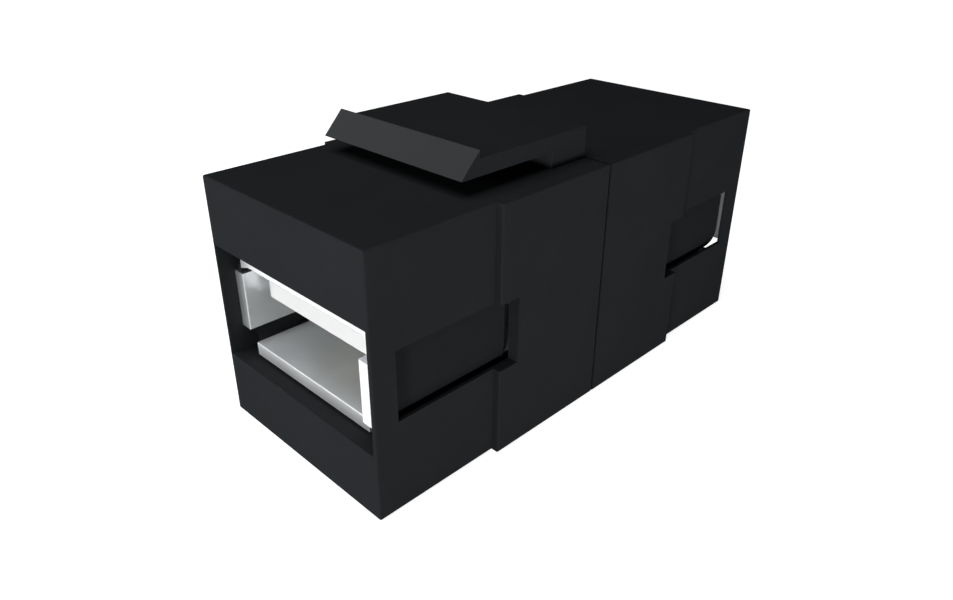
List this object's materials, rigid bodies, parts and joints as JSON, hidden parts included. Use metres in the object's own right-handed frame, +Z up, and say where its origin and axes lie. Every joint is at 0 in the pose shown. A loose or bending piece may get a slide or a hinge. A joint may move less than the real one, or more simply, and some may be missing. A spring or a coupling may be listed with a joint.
{
  "type": "usb keystone module",
  "caption": "Black snap-in coupler block for a wall plate, with a USB socket at each end, side windows and a sprung latch with a ramp on top.",
  "frame": {"origin": "under the middle of the module, on the plane of its underside, with the seam between the halves at Y = 0", "axes": "+Z up, towards the latch; -Y towards the front mouth, on the side of the latch's ramp; +X to the right seen from the front mouth"},
  "size_m": [0.0156, 0.036, 0.0185],
  "materials": {
    "housing_plastic": "black moulded plastic, satin, with crisp edges",
    "carrier_plastic": "black moulded plastic",
    "shell_metal": "nickel-plated sheet steel, folded",
    "insulator_plastic": "white moulded plastic",
    "contact_metal": "gold-flashed spring strip",
    "board": "green circuit board with solder mask",
    "solder": "bright solder"
  },
  "bodies": {
    "module_body": {"front_housing": "housing_plastic", "rear_housing": "housing_plastic", "front_carrier": "carrier_plastic", "rear_carrier": "carrier_plastic", "front_shell": "shell_metal", "rear_shell": "shell_metal", "front_insulator": "insulator_plastic", "rear_insulator": "insulator_plastic", "front_solder": "solder", "rear_solder": "solder", "circuit_board": "board", "front_contact_1": "contact_metal", "front_contact_2": "contact_metal", "front_contact_3": "contact_metal", "front_contact_4": "contact_metal", "rear_contact_1": "contact_metal", "rear_contact_2": "contact_metal", "rear_contact_3": "contact_metal", "rear_contact_4": "contact_metal"},
    "latch_arm": {"latch_arm": "housing_plastic"}
  },
  "joints": [
    {"name": "latch_flex", "type": "hinge", "parent": "module_body", "child": "latch_arm", "pos_m": [0, -0.00315, 0.0173], "axis": [1, 0, 0], "range_deg": [0, 7], "stiffness_Nm_per_rad": 0.8}
  ]
}
